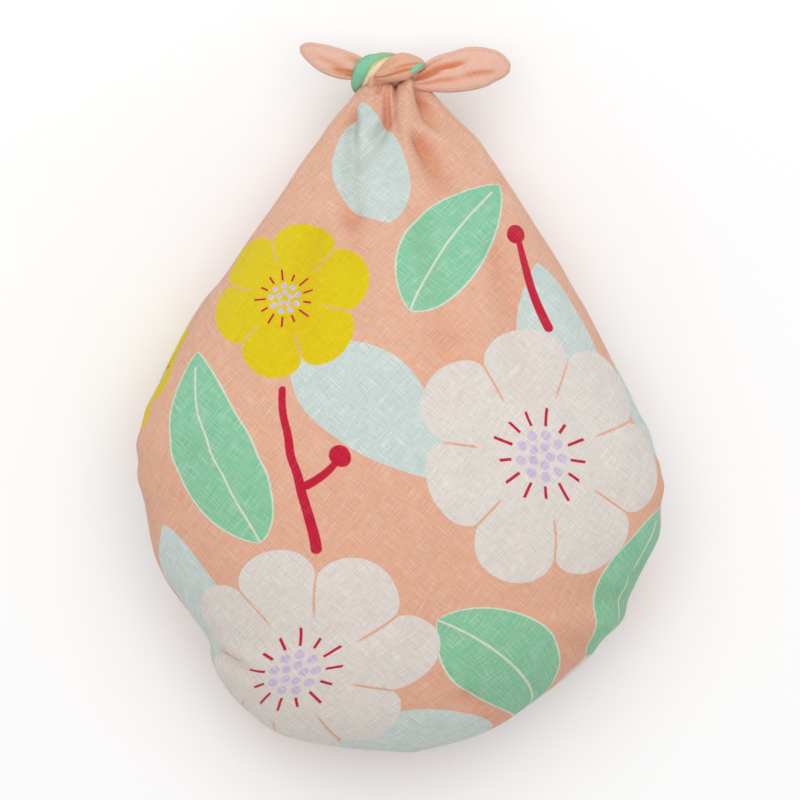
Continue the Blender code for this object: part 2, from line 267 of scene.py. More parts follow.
def woven_grid(
    name: str, points: Array, across: Array, up: Array, hem: Array, crease: Array
) -> Piece:
    """A grid of cloth laid on given points, in rows and columns.

    Args:
        name: the new object's name.
        points: places in millimetres.
        across: each point's place across the flat cloth, in millimetres.
        up: each row's place up the flat cloth, in millimetres.
        hem: distance to the nearest hemmed edge, in metres.
        crease: how much painted shade each point takes, from 0 to 1.

    Returns:
        The new object, with its places in the cloth as its UV map.
    """
    rows, columns = points.shape[:2]
    cloth = np.stack(np.broadcast_arrays(across, up[:, None]), axis=2) * MM
    deselect_all()
    bpy.ops.mesh.primitive_grid_add(x_subdivisions=columns - 1, y_subdivisions=rows - 1, size=2.0)
    item = bpy.context.object
    item.name = name
    mesh = item.data
    flat = np.empty(len(mesh.vertices) * 3)
    mesh.vertices.foreach_get("co", flat)
    flat = flat.reshape(-1, 3)
    column = np.rint((flat[:, 0] + 1.0) / 2.0 * (columns - 1)).astype(int)
    row = np.rint((flat[:, 1] + 1.0) / 2.0 * (rows - 1)).astype(int)
    mesh.vertices.foreach_set("co", (points[row, column] * MM).ravel())
    corner = np.empty(len(mesh.loops), dtype=np.int32)
    mesh.loops.foreach_get("vertex_index", corner)
    while mesh.uv_layers:
        mesh.uv_layers.remove(mesh.uv_layers[0])
    layer = mesh.uv_layers.new(name="cloth")
    layer.data.foreach_set("uv", cloth[row, column][corner].ravel())
    for attribute, values in (("hem", hem), ("crease", crease)):
        layer = mesh.attributes.new(attribute, "FLOAT", "POINT")
        layer.data.foreach_set("value", np.clip(values[row, column], 0.0, 1.0))
    mesh.update()
    return item


def join_pieces(pieces: list[Piece], name: str) -> Piece:
    """Join pieces into the first one and merge the points that meet.

    Args:
        pieces: the objects to join.
        name: the joined object's name.

    Returns:
        The joined object.
    """
    deselect_all()
    for piece in pieces:
        piece.select_set(True)
    bpy.context.view_layer.objects.active = pieces[0]
    if len(pieces) > 1:
        bpy.ops.object.join()
    item = bpy.context.object
    item.name = name
    bpy.ops.object.mode_set(mode="EDIT")
    bpy.ops.mesh.select_all(action="SELECT")
    bpy.ops.mesh.remove_doubles(threshold=MERGE_DISTANCE)
    bpy.ops.object.mode_set(mode="OBJECT")
    item.data.shade_smooth()
    return item


@dataclass
class ShaderSheet:
    """A shader tree on which a finish is written, one node at a time.

    Attributes:
        tree: the node tree that is written.
    """

    tree: bpy.types.NodeTree

    def node(self, kind: str, inputs: dict[int | str, object], **settings: object) -> bpy.types.Node:
        """A new node.

        Args:
            kind: the node's kind.
            inputs: what is led into its inputs, by their place or name.
            settings: its settings by name.

        Returns:
            The node.
        """
        made = self.tree.nodes.new(kind)
        for name, value in settings.items():
            setattr(made, name, value)
        for key, value in inputs.items():
            self.feed(made.inputs[key], value)
        return made

    def feed(self, socket: Socket, value: object) -> None:
        """Link a socket to an input, or set the input to a number, a vector or a colour."""
        if isinstance(value, Socket):
            self.tree.links.new(value, socket)
        elif socket.type == "VECTOR":
            socket.default_value = value[:3]
        else:
            socket.default_value = value

    def math(self, operation: str, *values: object) -> Socket:
        """The result of a sum on one to three values."""
        return self.node("ShaderNodeMath", dict(enumerate(values)), operation=operation).outputs[0]

    def times(self, a: object, b: object) -> Socket:
        """The product of two values."""
        return self.math("MULTIPLY", a, b)

    def plus(self, a: object, b: object) -> Socket:
        """The sum of two values."""
        return self.math("ADD", a, b)

    def less(self, a: object, b: object) -> Socket:
        """What is left of a value less another."""
        return self.math("SUBTRACT", a, b)

    def fitted(self, value: object, scale: object, start: object) -> Socket:
        """A value times a scale and more by a start."""
        return self.math("MULTIPLY_ADD", value, scale, start)

    def soft_step(self, value: object, low: object, high: object) -> Socket:
        """0 below low, 1 above high, and a smooth rise between."""
        inputs = {"Value": value, "From Min": low, "From Max": high}
        made = self.node("ShaderNodeMapRange", inputs, interpolation_type="SMOOTHSTEP", clamp=True)
        return made.outputs["Result"]

    def edge(self, inside: object, soft: object) -> Socket:
        """1 inside a motif and 0 outside, with a soft edge."""
        return self.soft_step(inside, self.times(soft, -1.0), soft)

    def length(self, x: object, y: object) -> Socket:
        """The length of two parts together."""
        return self.math("SQRT", self.fitted(x, x, self.times(y, y)))

    def mix(self, share: object, under: object, over: object, blend: str = "MIX") -> Socket:
        """One colour laid over another by a share."""
        settings = {"data_type": "RGBA", "blend_type": blend, "clamp_factor": True}
        return self.node("ShaderNodeMix", {0: share, 6: under, 7: over}, **settings).outputs[2]

    def blue(self, colour: object) -> Socket:
        """The blue part of a colour, which is high in the pale inks alone."""
        return self.node("ShaderNodeSeparateColor", {0: colour}).outputs["Blue"]

    def shaded(self, colour: object, shade: object) -> Socket:
        """A colour made darker or lighter by a number near 1."""
        return self.node("ShaderNodeVectorMath", {0: colour, "Scale": shade}, operation="SCALE").outputs[0]

    def parts(self, vector: object) -> SocketPair:
        """The first two parts of a vector."""
        made = self.node("ShaderNodeSeparateXYZ", {0: vector})
        return made.outputs[0], made.outputs[1]

    def vector(self, x: object, y: object) -> Socket:
        """A vector of two parts."""
        return self.node("ShaderNodeCombineXYZ", {0: x, 1: y}).outputs[0]

    def noise(self, vector: object, detail: float, roughness: float) -> Socket:
        """Smooth noise about one unit coarse, from 0 to 1."""
        inputs = {"Vector": vector, "Scale": 1.0, "Detail": detail, "Roughness": roughness}
        return self.node("ShaderNodeTexNoise", inputs, noise_dimensions="2D").outputs[0]

    def placed(self, vector: object, x: float, y: float, turn: float, size: float) -> Socket:
        """Cloth places as a motif sees them: from its middle, along its own way, in its size."""
        turned = (0.0, 0.0, math.radians(turn))
        inputs = {"Vector": vector, "Location": (x, y, 0.0), "Rotation": turned, "Scale": (size, size, 1.0)}
        return self.node("ShaderNodeMapping", inputs, vector_type="TEXTURE").outputs[0]

    def drawn(self, attribute: str) -> Socket:
        """A share that is drawn on the mesh's points."""
        return self.node("ShaderNodeAttribute", {}, attribute_name=attribute).outputs["Fac"]


@dataclass
class Stamp:
    """A print block: a node group that turns a motif's own places into its inks' shares.

    Attributes:
        name: the block's name.
        inks: the names of the shares that it gives.
        sizes: the names of the numbers that it takes beside the place.
    """

    name: str
    inks: tuple[str, ...]
    sizes: tuple[str, ...] = ("Soft",)
    tree: bpy.types.NodeTree = field(init=False)
    sheet: ShaderSheet = field(init=False)

    def __post_init__(self) -> None:
        """Open the group and cut the block."""
        self.tree = bpy.data.node_groups.new(self.name, "ShaderNodeTree")
        face = self.tree.interface
        face.new_socket("Place", in_out="INPUT", socket_type="NodeSocketVector")
        for size in self.sizes:
            face.new_socket(size, in_out="INPUT", socket_type="NodeSocketFloat")
        for ink in self.inks:
            face.new_socket(ink, in_out="OUTPUT", socket_type="NodeSocketFloat")
        self.sheet = ShaderSheet(self.tree)
        taken = self.tree.nodes.new("NodeGroupInput").outputs
        given = self.tree.nodes.new("NodeGroupOutput").inputs
        shares = self.cut({socket.name: socket for socket in taken if socket.name})
        for ink, share in zip(self.inks, shares):
            self.tree.links.new(share, given[ink])

    def cut(self, taken: dict[str, Socket]) -> list[Socket]:
        """Write the block's shape.

        Args:
            taken: the group's inputs by name.

        Returns:
            A share for each ink, in the order of the inks.
        """
        raise NotImplementedError

    def press(self, sheet: ShaderSheet, place: object, **sizes: float) -> list[Socket]:
        """Print the block once.

        Args:
            sheet: the material's shader sheet.
            place: the motif's own places.
            sizes: the block's numbers by name.

        Returns:
            The share of each ink.
        """
        made = sheet.node("ShaderNodeGroup", {}, node_tree=self.tree)
        sheet.feed(made.inputs["Place"], place)
        for name, value in sizes.items():
            sheet.feed(made.inputs[name.title()], value)
        return [made.outputs[ink] for ink in self.inks]


@dataclass
class BlossomStamp(Stamp):
    """An open blossom of radius 1 with round petals, and dots and short threads in its eye.

    Attributes:
        rings: the number, the distance and the radius of the dots in each ring.
        threads: the number of threads round the dots.
    """

    name: str = "open blossom"
    inks: tuple[str, ...] = ("Petals", "Slits", "Dots", "Threads")
    sizes: tuple[str, ...] = ("Soft", "Count")
    rings: tuple[tuple[float, float, float], ...] = ((9.0, 0.155, 0.036), (5.0, 0.07, 0.034))
    threads: float = 13.0

    def cut(self, taken: dict[str, Socket]) -> list[Socket]:
        """Write petals, the slits between them, the dots of the eye and its short threads."""
        pen = self.sheet
        x, y = pen.parts(taken["Place"])
        soft, count = taken["Soft"], taken["Count"]
        reach = pen.length(x, y)
        turn = pen.math("ARCTAN2", y, x)
        petal = pen.times(turn, pen.times(count, 0.5))
        petal = pen.math("ABSOLUTE", pen.math("COSINE", petal))
        uneven = pen.times(pen.math("SINE", pen.plus(turn, 1.1)), 0.035)
        wave = pen.math("SINE", pen.fitted(turn, 3.0, 0.4))
        uneven = pen.plus(uneven, pen.times(wave, 0.03))
        rim = pen.fitted(pen.math("POWER", petal, 0.42), 0.27, 0.70)
        rim = pen.times(rim, pen.plus(uneven, 0.97))
        petals = pen.edge(pen.less(rim, reach), soft)
        away = pen.times(pen.math("DIVIDE", petal, count), pen.times(reach, 2.0))
        slit = pen.soft_step(away, pen.plus(soft, 0.008), 0.006)
        slit = pen.times(slit, pen.soft_step(reach, 0.42, 0.5))
        dots = pen.math("MAXIMUM", *[self.dots(reach, turn, soft, *ring) for ring in self.rings])
        across = pen.times(reach, pen.math("SINE", self.wrapped(turn, self.threads)))
        across = pen.math("ABSOLUTE", across)
        thread = pen.soft_step(across, pen.plus(soft, 0.010), 0.008)
        thread = pen.times(thread, pen.soft_step(reach, 0.215, 0.225))
        ends = pen.fitted(pen.math("SINE", pen.times(turn, 5.0)), 0.03, 0.34)
        ends = pen.soft_step(pen.less(ends, reach), 0.0, 0.01)
        return [petals, slit, dots, pen.times(thread, ends)]

    def wrapped(self, turn: object, count: float) -> Socket:
        """An angle folded back into the nearest of count equal slices."""
        slices = self.sheet.fitted(turn, count / math.tau, 0.5)
        share = self.sheet.less(self.sheet.math("FRACT", slices), 0.5)
        return self.sheet.times(share, math.tau / count)

    def dots(
        self, reach: object, turn: object, soft: object, count: float, radius: float, dot: float
    ) -> Socket:
        """A ring of round dots.

        Args:
            reach: distance from the eye.
            turn: angle round the eye.
            soft: the width of the ink's edge.
            count: how many dots.
            radius: the ring's radius.
            dot: a dot's radius.

        Returns:
            The dots' share.
        """
        pen = self.sheet
        slice_turn = self.wrapped(turn, count)
        along = pen.fitted(reach, pen.math("COSINE", slice_turn), -radius)
        away = pen.length(along, pen.times(reach, pen.math("SINE", slice_turn)))
        return pen.soft_step(away, pen.plus(soft, dot), pen.less(dot, soft))


@dataclass
class LeafStamp(Stamp):
    """A leaf of half length 1 along its own x, bowed a little, with a pale rim and midrib."""

    name: str = "bowed leaf"
    inks: tuple[str, ...] = ("Blade", "Lines")
    sizes: tuple[str, ...] = ("Soft", "Width", "Line")

    def cut(self, taken: dict[str, Socket]) -> list[Socket]:
        """Write the blade, and its rim and midrib."""
        pen = self.sheet
        x, y = pen.parts(taken["Place"])
        soft, line = taken["Soft"], taken["Line"]
        room = pen.math("MAXIMUM", pen.less(1.0, pen.times(x, x)), 0.0)
        bow = pen.fitted(room, -0.13, y)
        half = pen.times(taken["Width"], pen.math("POWER", room, 0.72))
        half = pen.times(half, pen.fitted(x, -0.22, 1.0))
        inside = pen.less(half, pen.math("ABSOLUTE", bow))
        blade = pen.times(pen.edge(inside, soft), pen.soft_step(room, 0.0, 0.01))
        rim = pen.soft_step(inside, pen.plus(line, soft), line)
        outer = pen.fitted(line, 0.5, soft)
        midrib = pen.soft_step(pen.math("ABSOLUTE", bow), outer, pen.times(line, 0.5))
        midrib = pen.times(midrib, pen.soft_step(x, 0.86, 0.84))
        return [blade, pen.times(blade, pen.math("MAXIMUM", rim, midrib))]


@dataclass
class StemStamp(Stamp):
    """A stem from 0 to 1 along its own x, bowed a little and thicker at its foot."""

    name: str = "bowed stem"
    inks: tuple[str, ...] = ("Stem",)
    sizes: tuple[str, ...] = ("Soft", "Width", "Bow")

    def cut(self, taken: dict[str, Socket]) -> list[Socket]:
        """Write the stem."""
        pen = self.sheet
        x, y = pen.parts(taken["Place"])
        room = pen.times(x, pen.less(1.0, x))
        bow = pen.less(y, pen.times(room, taken["Bow"]))
        half = pen.times(taken["Width"], pen.fitted(x, -0.35, 1.0))
        beyond = pen.math("MAXIMUM", pen.less(x, 1.0), pen.times(x, -1.0))
        away = pen.length(pen.math("MAXIMUM", beyond, 0.0), bow)
        return [pen.edge(pen.less(half, away), taken["Soft"])]


@dataclass
class BerryStamp(Stamp):
    """A round berry of radius 1."""

    name: str = "round berry"
    inks: tuple[str, ...] = ("Berry",)

    def cut(self, taken: dict[str, Socket]) -> list[Socket]:
        """Write the berry."""
        pen = self.sheet
        reach = pen.length(*pen.parts(taken["Place"]))
        return [pen.soft_step(reach, pen.plus(1.0, taken["Soft"]), 1.0)]


class Blossom(NamedTuple):
    """A printed blossom, in millimetres of cloth: its middle, radius, turn, petals and ink."""

    x: float
    y: float
    size: float
    turn: float
    petals: int
    ink: Dye = Dye.WHITE


class Leaf(NamedTuple):
    """A printed leaf, in millimetres of cloth: its middle, half length, turn, width and inks."""

    x: float
    y: float
    size: float
    turn: float
    width: float
    ink: Dye = Dye.MINT
    lined: bool = True


class Stem(NamedTuple):
    """A printed stem, in millimetres of cloth: its foot, length, turn, half width and bow."""

    x: float
    y: float
    size: float
    turn: float
    half: float
    bow: float


class Berry(NamedTuple):
    """A printed berry, in millimetres of cloth: its middle and radius."""

    x: float
    y: float
    size: float
    turn: float = 0.0


Motif = Blossom | Leaf | Stem | Berry

BLOSSOMS = (
    Blossom(-60, 91, 83, 12, 8), Blossom(83, 221, 80, -8, 7), Blossom(170, 64, 64, 5, 7),
    Blossom(-64, 314, 52, 18, 6, Dye.YELLOW), Blossom(-178, 268, 40, 0, 6, Dye.YELLOW),
    Blossom(262, 196, 66, 30, 8), Blossom(-262, 150, 70, 16, 7),
    Blossom(236, 330, 44, 40, 6, Dye.YELLOW),
)

LEAVES = (
    Leaf(-101, 226, 58, 108, 0.46), Leaf(36, 348, 50, 58, 0.5), Leaf(62, 90, 58, -38, 0.48),
    Leaf(150, 138, 54, 74, 0.48), Leaf(-196, 214, 54, 70, 0.46), Leaf(236, 88, 50, -60, 0.46),
    Leaf(-190, 344, 50, 40, 0.46), Leaf(-12, 404, 42, 100, 0.52, Dye.AQUA, False),
    Leaf(-14, 244, 56, -40, 0.52, Dye.AQUA, False), Leaf(-126, 136, 50, 118, 0.5, Dye.AQUA, False),
    Leaf(104, 290, 50, 112, 0.5, Dye.AQUA, False), Leaf(22, 34, 52, 16, 0.48, Dye.AQUA, False),
    Leaf(176, 262, 52, 96, 0.46, Dye.AQUA, False), Leaf(-196, 80, 50, 20, 0.46, Dye.AQUA, False),
    Leaf(300, 110, 52, 60, 0.46, Dye.AQUA, False),
)

STEMS = (
    Stem(-50, 168, 92, 98, 3.3, 0.12), Stem(-54, 204, 26, 36, 2.6, -0.18),
    Stem(92, 296, 60, 108, 3, 0.16), Stem(-214, 196, 60, 112, 3.4, 0.14),
)

BERRIES = (
    Berry(-32, 221, 6), Berry(72, 356, 6),
)


@dataclass(frozen=True)
class Weave:
    """The threads of the slub cotton, uneven along the cloth's two ways.

    Attributes:
        pitch: distance from thread to thread, in metres.
        run: how far a thread keeps its thickness, in metres.
        slub_pitch: distance between the thick slubs, in metres.
        slub_run: length of a slub, in metres.
        contrast: how much the threads show in the colour.
        slub_contrast: how much the gaps beside the slubs show in the colour.
        bare: how much of a slub a pale ink leaves bare. A strong ink covers it.
        angle: the threads' turn on the bag, in degrees.
        slubs: the noise from which a thread is a slub, and that at which it is a full one.
        gaps: the same for the thin places beside the slubs.
        cloud: size of the cloudy places of the dye in metres, and how much they show.
    """

    pitch: float = 0.00050
    run: float = 0.0060
    slub_pitch: float = 0.00060
    slub_run: float = 0.016
    contrast: float = 0.19
    slub_contrast: float = 0.07
    bare: float = 0.45
    angle: float = 48.0
    slubs: tuple[float, float] = (0.54, 0.64)
    gaps: tuple[float, float] = (0.49, 0.31)
    cloud: tuple[float, float] = (0.03, 0.06)

    def lay(
        self, pen: ShaderSheet, cloth: object, colour: object
    ) -> SocketPair:
        """Lay both ways of thread.

        Args:
            pen: the material's shader sheet.
            cloth: places in the cloth in metres.
            colour: the cloth's inks.

        Returns:
            The colour with its threads, and their height.
        """
        a, b = pen.parts(pen.placed(cloth, 0.0, 0.0, self.angle, 1.0))
        grain = pen.plus(*self.crossed(pen, a, b, self.pitch, self.run))
        threads = self.crossed(pen, a, b, self.slub_pitch, self.slub_run)
        thick = pen.plus(*(pen.soft_step(thread, *self.slubs) for thread in threads))
        gaps = pen.plus(*(pen.soft_step(thread, *self.gaps) for thread in threads))
        shade = pen.fitted(grain, self.contrast, 1.0 - self.contrast)
        shade = pen.fitted(gaps, -self.slub_contrast, shade)
        size, depth = self.cloud
        cloud = pen.noise(pen.vector(pen.math("DIVIDE", a, size), pen.math("DIVIDE", b, size)), 2.0, 0.5)
        shade = pen.times(shade, pen.fitted(cloud, depth, 1.0 - depth / 2.0))
        bare = pen.times(thick, pen.times(pen.blue(colour), self.bare))
        colour = pen.mix(bare, colour, Dye.THREAD.value)
        return pen.shaded(colour, shade), pen.fitted(thick, 0.8, grain)

    def crossed(self, pen: ShaderSheet, a: object, b: object, pitch: float, run: float) -> list[Socket]:
        """The uneven threads of the warp and of the weft, about 0.5 each."""
        ways = [(pen.math("DIVIDE", a, x), pen.math("DIVIDE", b, y)) for x, y in ((pitch, run), (run, pitch))]
        return [pen.noise(pen.vector(*way), 1.0, 0.5) for way in ways]


@dataclass(frozen=True)
class Hem:
    """The narrow hem of the square: a doubled band and a line of stitches.

    Attributes:
        width: the band's width, in metres.
        stitch: length of one stitch and its gap, in metres.
        inset: distance of the stitches from the band's edge, in metres.
        thread: half the stitches' width, in metres.
        soft: half the width of the band's soft edge, in metres.
    """

    width: float = 0.0055
    stitch: float = 0.0028
    inset: float = 0.0012
    thread: float = 0.0006
    soft: float = 0.0004

    def lay(self, pen: ShaderSheet, along: object) -> SocketPair:
        """Lay the hem along the mouths.

        Args:
            pen: the material's shader sheet.
            along: place along the edge in metres.

        Returns:
            The shade of the colour, near 1, and the height of the hem.
        """
        distance = pen.drawn("hem")
        band = pen.soft_step(distance, self.width + self.soft, self.width - self.soft)
        groove = pen.math("ABSOLUTE", pen.less(distance, self.width - self.inset))
        groove = pen.soft_step(groove, self.thread, 0.0)
        beat = pen.math("SINE", pen.times(along, math.tau / self.stitch))
        stitches = pen.times(groove, pen.soft_step(beat, -0.5, 0.2))
        height = pen.less(band, pen.times(stitches, 0.8))
        shade = pen.less(1.0, pen.times(stitches, 0.12))
        return shade, height


@dataclass
class PrintBlocks:
    """The blocks that the whole print is made with."""

    blossom: BlossomStamp = field(default_factory=BlossomStamp)
    leaf: LeafStamp = field(default_factory=LeafStamp)
    stem: StemStamp = field(default_factory=StemStamp)
    berry: BerryStamp = field(default_factory=BerryStamp)


@dataclass
class SlubCotton:
    """The cotton of the wrap, dyed plain or printed.

    Attributes:
        name: the material's name.
        ground: the ink of the ground.
        blocks: the print's blocks, or None for a plain piece.
        fade: how far the ink is lost, as on the cloth's reverse.
        hemmed: whether the piece has hemmed edges.
        soft: half the width of the print's soft edges, in metres.
        line: width of the leaves' rims and midribs, in metres.
        pale_loss: how much less painted shade a pale ink takes in the creases.
        weave: the cotton's threads.
    """

    name: str
    ground: Dye = Dye.GROUND
    blocks: PrintBlocks | None = None
    fade: float = 0.0
    hemmed: bool = False
    soft: float = 0.00035
    line: float = 0.0011
    pale_loss: float = 1.2
    weave: Weave = Weave()

    def make(self) -> bpy.types.Material:
        """Make the material."""
        material = bpy.data.materials.new(self.name)
        material.use_nodes = True
        pen = ShaderSheet(material.node_tree)
        shader = material.node_tree.nodes["Principled BSDF"]
        cloth = pen.node("ShaderNodeUVMap", {}, uv_map="cloth").outputs[0]
        colour: object = self.ground.value
        if self.blocks:
            colour = self.printed(pen, cloth)
        if self.fade:
            colour = pen.mix(self.fade, colour, Dye.REVERSE.value)
        # Painted shade: in the creases, and low on the bag where it turns away, the colour is multiplied
        # towards a warm darker tint, less on pale inks
        crease = pen.drawn("crease")
        strong = pen.fitted(pen.blue(colour), -self.pale_loss, 1.0)
        colour = pen.mix(pen.times(crease, strong), colour, Dye.DEEP.value, "MULTIPLY")
        colour, height = self.weave.lay(pen, cloth, colour)
        if self.hemmed:
            shade, hem_height = Hem().lay(pen, pen.parts(cloth)[1])
            colour = pen.shaded(colour, shade)
            height = pen.fitted(hem_height, 2.5, height)
        pen.feed(shader.inputs["Base Color"], colour)
        relief = {"Strength": 0.5, "Distance": 0.0003, "Height": height}
        pen.feed(shader.inputs["Normal"], pen.node("ShaderNodeBump", relief).outputs[0])
        finish = {"Roughness": 0.88, "Specular IOR Level": 0.25, "Sheen Weight": 0.12, "Sheen Roughness": 0.5}
        for name, value in finish.items():
            pen.feed(shader.inputs[name], value)
        return material

    def printed(self, pen: ShaderSheet, cloth: object) -> Socket:
        """Print the ground: leaves first, then stems and berries, then blossoms.

        Args:
            pen: the material's shader sheet.
            cloth: places in the cloth in metres.

        Returns:
            The printed colour.
        """
        colour: object = self.ground.value
        for leaf in sorted(LEAVES, key=lambda leaf: leaf.lined):
            line = self.line / (leaf.size * MM)
            blade, lines = self.pressed(pen, cloth, self.blocks.leaf, leaf, width=leaf.width, line=line)
            colour = pen.mix(blade, colour, leaf.ink.value)
            if leaf.lined:
                colour = pen.mix(lines, colour, Dye.RIM.value)
        for stem in STEMS:
            width = stem.half * MM / (stem.size * MM)
            (share,) = self.pressed(pen, cloth, self.blocks.stem, stem, width=width, bow=stem.bow)
            colour = pen.mix(share, colour, Dye.CRIMSON.value)
        for berry in BERRIES:
            soft = 2.0 * self.soft / (berry.size * MM)
            (share,) = self.pressed(pen, cloth, self.blocks.berry, berry, soft=soft)
            colour = pen.mix(share, colour, Dye.CRIMSON.value)
        for blossom in BLOSSOMS:
            count = float(blossom.petals)
            petals, slits, dots, threads = self.pressed(pen, cloth, self.blocks.blossom, blossom, count=count)
            colour = pen.mix(petals, colour, blossom.ink.value)
            colour = pen.mix(pen.times(slits, petals), colour, self.ground.value)
            colour = pen.mix(threads, colour, Dye.CRIMSON.value)
            colour = pen.mix(dots, colour, Dye.LILAC.value)
        return colour

    def pressed(
        self, pen: ShaderSheet, cloth: object, block: Stamp, motif: Motif, **sizes: float
    ) -> list[Socket]:
        """The share of each ink where a block is pressed at a motif's place in the cloth."""
        sizes.setdefault("soft", self.soft / (motif.size * MM))
        place = pen.placed(cloth, motif.x * MM, motif.y * MM, motif.turn, motif.size * MM)
        return block.press(pen, place, **sizes)


@dataclass
class BagWall:
    """The two layers of the bag as one fine sheet.

    Attributes:
        front_steps: columns over the front layer.
        back_steps: columns over each half of the back layer.
        row_pitch: distance from row to row, in millimetres.
        thickness: the cloth's thickness, in metres.
        closed_left, closed_right: how far up each side is closed, in millimetres.
        section_power: how square a section's arch is.
        tuck_reach: how far over and under a side corner its tuck reaches, in millimetres.
        rest_blend: height over which the back rounds into the surface, in millimetres.
        lip_steps: columns over the strip that wraps round the left mouth.
        lip_rise: how high that strip rises, as a share of the mouth.
        lip_top, lip_span, lip_tuck: where it ends, over what length, and how far it slips under.
        edge_room: distance from the edges over which the folds fade, in millimetres.
        fold_fade: how much of a fold is lost at its second end.
        painted_shade_depth: depth of a fold that takes the full painted shade, in millimetres.
        painted_shade_from, painted_shade_reach, painted_shade_low, painted_shade_turned, turned_height: where
        painted shade darkens the cloth, low on the bag and where it turns away.
        bumps: height and size of the unevenness of the stuffed cloth, in millimetres.
        pleat_start, rest_reach, foot_reach: how far from a corner, the surface and the foot the
            fine relief grows to its full height, in millimetres.
        reverse_fade: how pale the print is on the inside.
        open_gap: a mouth that gapes less is closed, in millimetres.
    """

    front_steps: int = 136
    back_steps: int = 44
    row_pitch: float = 2.8
    thickness: float = 0.0012
    closed_left: float = -33.0
    closed_right: float = -43.0
    section_power: float = 2.3
    tuck_reach: float = 15.0
    rest_blend: float = 3.0
    lip_steps: int = 6
    lip_rise: float = 0.52
    lip_top: float = 122.0
    lip_span: float = 86.0
    lip_tuck: float = 2.6
    edge_room: float = 7.0
    fold_fade: float = 0.6
    painted_shade_depth: float = 10.0
    painted_shade_from: float = 110.0
    painted_shade_reach: float = 260.0
    painted_shade_low: float = 0.26
    painted_shade_turned: float = 0.30
    turned_height: float = 115.0
    bumps: tuple[tuple[float, float], ...] = ((0.9, 38.0), (0.35, 15.0))
    pleat_start: float = 12.0
    rest_reach: float = 12.0
    foot_reach: float = 3.0
    reverse_fade: float = 0.62
    open_gap: float = 0.05

    def rows(self) -> list[Section]:
        """Fine sections between those of the table, close together where the foot turns."""
        table = np.array(SECTIONS)
        place = np.sqrt(table[:, 0] - table[0, 0])
        wanted = [np.array([0.0])]
        for low, high, start, end in zip(table, table[1:], place, place[1:]):
            far = np.abs(high - low)[:4].max()
            steps = max(2, math.ceil(far / self.row_pitch))
            wanted.append(np.linspace(start, end, steps + 1)[1:])
        fine = smooth_curve(place, table, np.concatenate(wanted))
        fine[:, 7:] = np.maximum(fine[:, 7:], 0.0)
        fine[fine[:, 0] <= self.closed_left, 7] = 0.0
        fine[fine[:, 0] <= self.closed_right, 8] = 0.0
        return [Section(*row) for row in fine]

    def layer(self, section: Section, turns: Array, front: bool) -> Array:
        """Points of one layer over a section.

        Args:
            section: the level section.
            turns: angles over the arch, from 0 at the left side to pi at the right one.
            front: the front layer, or else the back one.

        Returns:
            A point in millimetres for each angle.
        """
        left = section.left + (section.peek if front else 0.0)
        middle = (left + section.right) / 2.0
        half = (section.right - left) / 2.0
        across = -np.cos(turns)
        height = np.maximum(0.0, 1.0 - np.abs(across) ** self.section_power) ** (1.0 / section.full)
        gap = section.gap_left + (section.gap_right - section.gap_left) * turns / math.pi
        edge = section.seam + (gap if front else -gap) / 2.0
        top = section.crest if front else section.under
        z = edge + (top - edge) * height
        tuck = np.where(across < 0.0, section.tuck_left, -section.tuck_right)
        x = middle + half * across + tuck * np.exp(-(((z - edge) / self.tuck_reach) ** 2))
        widest_left = max(middle - x.min(), 1e-6)
        widest_right = max(x.max() - middle, 1e-6)
        x = middle + (x - middle) * half / np.where(x < middle, widest_left, widest_right)
        if not front:
            z = self.settled(z)
        return np.stack([x, np.full_like(x, section.y), z], axis=1)

    def back_row(self, section: Section, turns: Array) -> Array:
        """Points of the back over a section, from the hem of its left edge to its right side.

        The left edge wraps a little round the filling and slips under the front's edge.

        Args:
            section: the level section.
            turns: angles over the arch.

        Returns:
            Points in millimetres: those of the edge, and one for each angle.
        """
        row = self.layer(section, turns, False)
        rise = np.linspace(1.0, 0.0, self.lip_steps + 1)[:-1]
        rising = min(1.0, max(0.0, (self.lip_top - section.y) / self.lip_span))
        shows = rising * rising * (3.0 - 2.0 * rising)
        x = row[0, 0] + (section.peek + self.lip_tuck * shows) * rise**1.6 * shows
        z = section.seam + section.gap_left * (self.lip_rise * shows * rise - 0.5)
        return np.concatenate([np.stack([x, np.full_like(x, section.y), z], axis=1), row])

    def settled(self, height: Array) -> Array:
        """Heights of the back, rounded into the surface that it rests on."""
        blend = (np.clip(height, -self.rest_blend, self.rest_blend) + self.rest_blend) ** 2
        return np.where(height >= self.rest_blend, height, blend / (4.0 * self.rest_blend))

    def normals(self, grid: Array) -> Array:
        """Directions square to a grid of points, outwards from the bag."""
        across = np.gradient(grid, axis=1)
        along = np.gradient(grid, axis=0)
        found = np.cross(across, along)
        size = np.linalg.norm(found, axis=2, keepdims=True)
        return found / np.maximum(size, 1e-9)

    def folded(self, grid: Array) -> Array:
        """How far the folds move each point of the front, in millimetres."""
        depth = np.zeros(grid.shape[:2])
        for fold in FOLDS:
            run = np.array([fold.x1 - fold.x0, fold.y1 - fold.y0])
            offset = grid[:, :, :2] - np.array([fold.x0, fold.y0])
            along = np.clip(offset @ run / (run @ run), 0.0, 1.0)
            away = np.linalg.norm(offset - along[:, :, None] * run, axis=2)
            width = fold.width0 + (fold.width1 - fold.width0) * along
            depth += fold.depth * (1.0 - self.fold_fade * along) * np.exp(-((away / width) ** 2))
        across = grid[:, :, 0]
        edge = np.minimum(across - across[:, :1], across[:, -1:] - across)
        return depth * np.clip(edge / self.edge_room, 0.0, 1.0)

    def low_painted_shade(self, grid: Array) -> Array:
        """Painted shade low on the bag and where it turns away, from 0 to 1."""
        low = np.clip((self.painted_shade_from - grid[:, :, 1]) / self.painted_shade_reach, 0.0, 1.0)
        turned = np.clip(1.0 - grid[:, :, 2] / self.turned_height, 0.0, 1.0)
        return low * (self.painted_shade_low + self.painted_shade_turned * turned)

